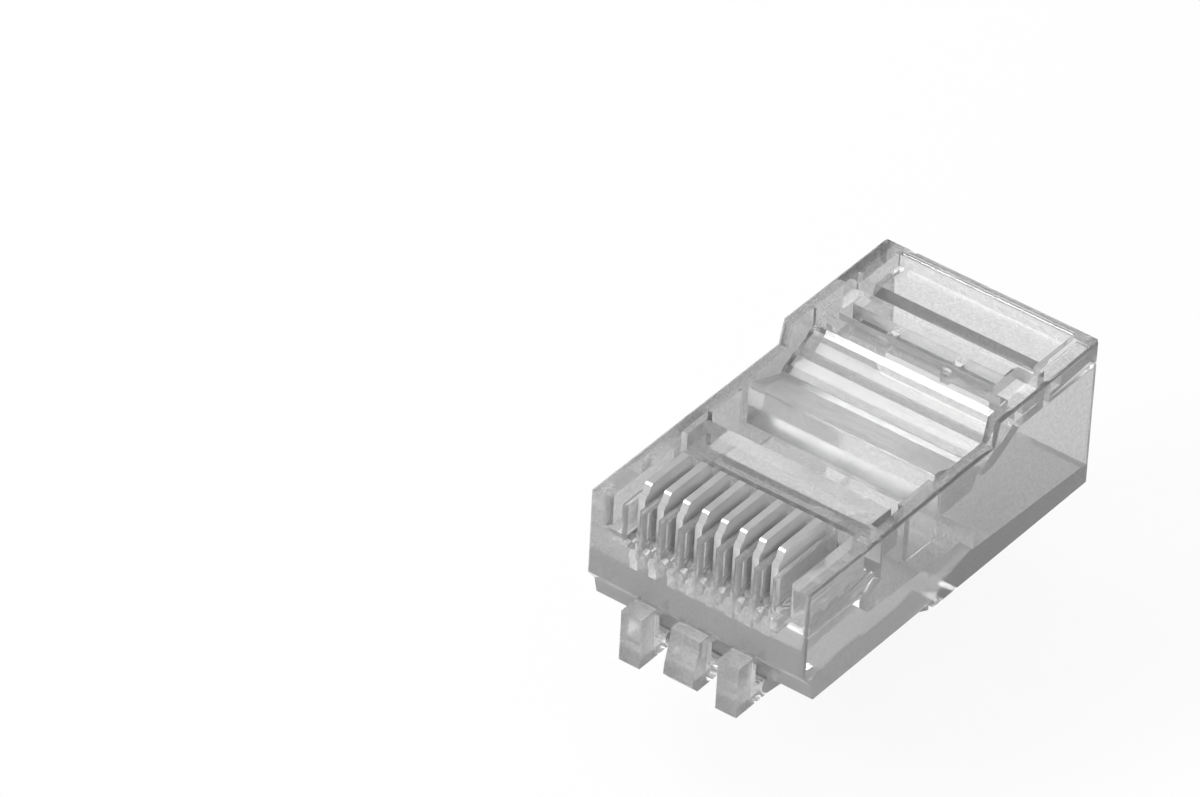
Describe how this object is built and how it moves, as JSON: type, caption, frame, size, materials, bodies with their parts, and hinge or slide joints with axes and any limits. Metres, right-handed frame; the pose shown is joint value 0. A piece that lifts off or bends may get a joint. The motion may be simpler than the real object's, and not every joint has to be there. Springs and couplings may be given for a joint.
{
  "type": "rj45 modular plug",
  "caption": "Clear modular network plug, uncrimped, with metal contacts standing proud of the nose comb, a springy latch arm, clamp bars and an open cable end.",
  "frame": {"origin": "middle of the nose's front plane, on the plane of the nose's latch-side face", "axes": "+X across the width, +Y from the nose to the cable end, +Z towards the contact side; the latch hangs on the -Z side"},
  "size_m": [0.0116, 0.0226, 0.014],
  "materials": {
    "clear_plastic": "clear, polished",
    "contact_metal": "plated, bright"
  },
  "bodies": {
    "housing": {"housing": "clear_plastic"},
    "latch": {"latch": "clear_plastic"},
    "contact_1": {"contact_1": "contact_metal"},
    "contact_2": {"contact_2": "contact_metal"},
    "contact_3": {"contact_3": "contact_metal"},
    "contact_4": {"contact_4": "contact_metal"},
    "contact_5": {"contact_5": "contact_metal"},
    "contact_6": {"contact_6": "contact_metal"},
    "contact_7": {"contact_7": "contact_metal"},
    "contact_8": {"contact_8": "contact_metal"}
  },
  "joints": [
    {"name": "latch_press", "type": "hinge", "parent": "housing", "child": "latch", "pos_m": [0, 0.00135, -0.00086], "axis": [1, 0, 0], "range_deg": [0, 12], "stiffness_Nm_per_rad": 0.15},
    {"name": "contact_1_crimp", "type": "slide", "parent": "housing", "child": "contact_1", "axis": [0, 0, -1], "range_m": [0, 0.0009]},
    {"name": "contact_2_crimp", "type": "slide", "parent": "housing", "child": "contact_2", "axis": [0, 0, -1], "range_m": [0, 0.0009]},
    {"name": "contact_3_crimp", "type": "slide", "parent": "housing", "child": "contact_3", "axis": [0, 0, -1], "range_m": [0, 0.0009]},
    {"name": "contact_4_crimp", "type": "slide", "parent": "housing", "child": "contact_4", "axis": [0, 0, -1], "range_m": [0, 0.0009]},
    {"name": "contact_5_crimp", "type": "slide", "parent": "housing", "child": "contact_5", "axis": [0, 0, -1], "range_m": [0, 0.0009]},
    {"name": "contact_6_crimp", "type": "slide", "parent": "housing", "child": "contact_6", "axis": [0, 0, -1], "range_m": [0, 0.0009]},
    {"name": "contact_7_crimp", "type": "slide", "parent": "housing", "child": "contact_7", "axis": [0, 0, -1], "range_m": [0, 0.0009]},
    {"name": "contact_8_crimp", "type": "slide", "parent": "housing", "child": "contact_8", "axis": [0, 0, -1], "range_m": [0, 0.0009]}
  ],
  "couplings": [
    {"joint": "contact_2_crimp", "follows": "contact_1_crimp", "ratio": 1},
    {"joint": "contact_3_crimp", "follows": "contact_1_crimp", "ratio": 1},
    {"joint": "contact_4_crimp", "follows": "contact_1_crimp", "ratio": 1},
    {"joint": "contact_5_crimp", "follows": "contact_1_crimp", "ratio": 1},
    {"joint": "contact_6_crimp", "follows": "contact_1_crimp", "ratio": 1},
    {"joint": "contact_7_crimp", "follows": "contact_1_crimp", "ratio": 1},
    {"joint": "contact_8_crimp", "follows": "contact_1_crimp", "ratio": 1}
  ]
}
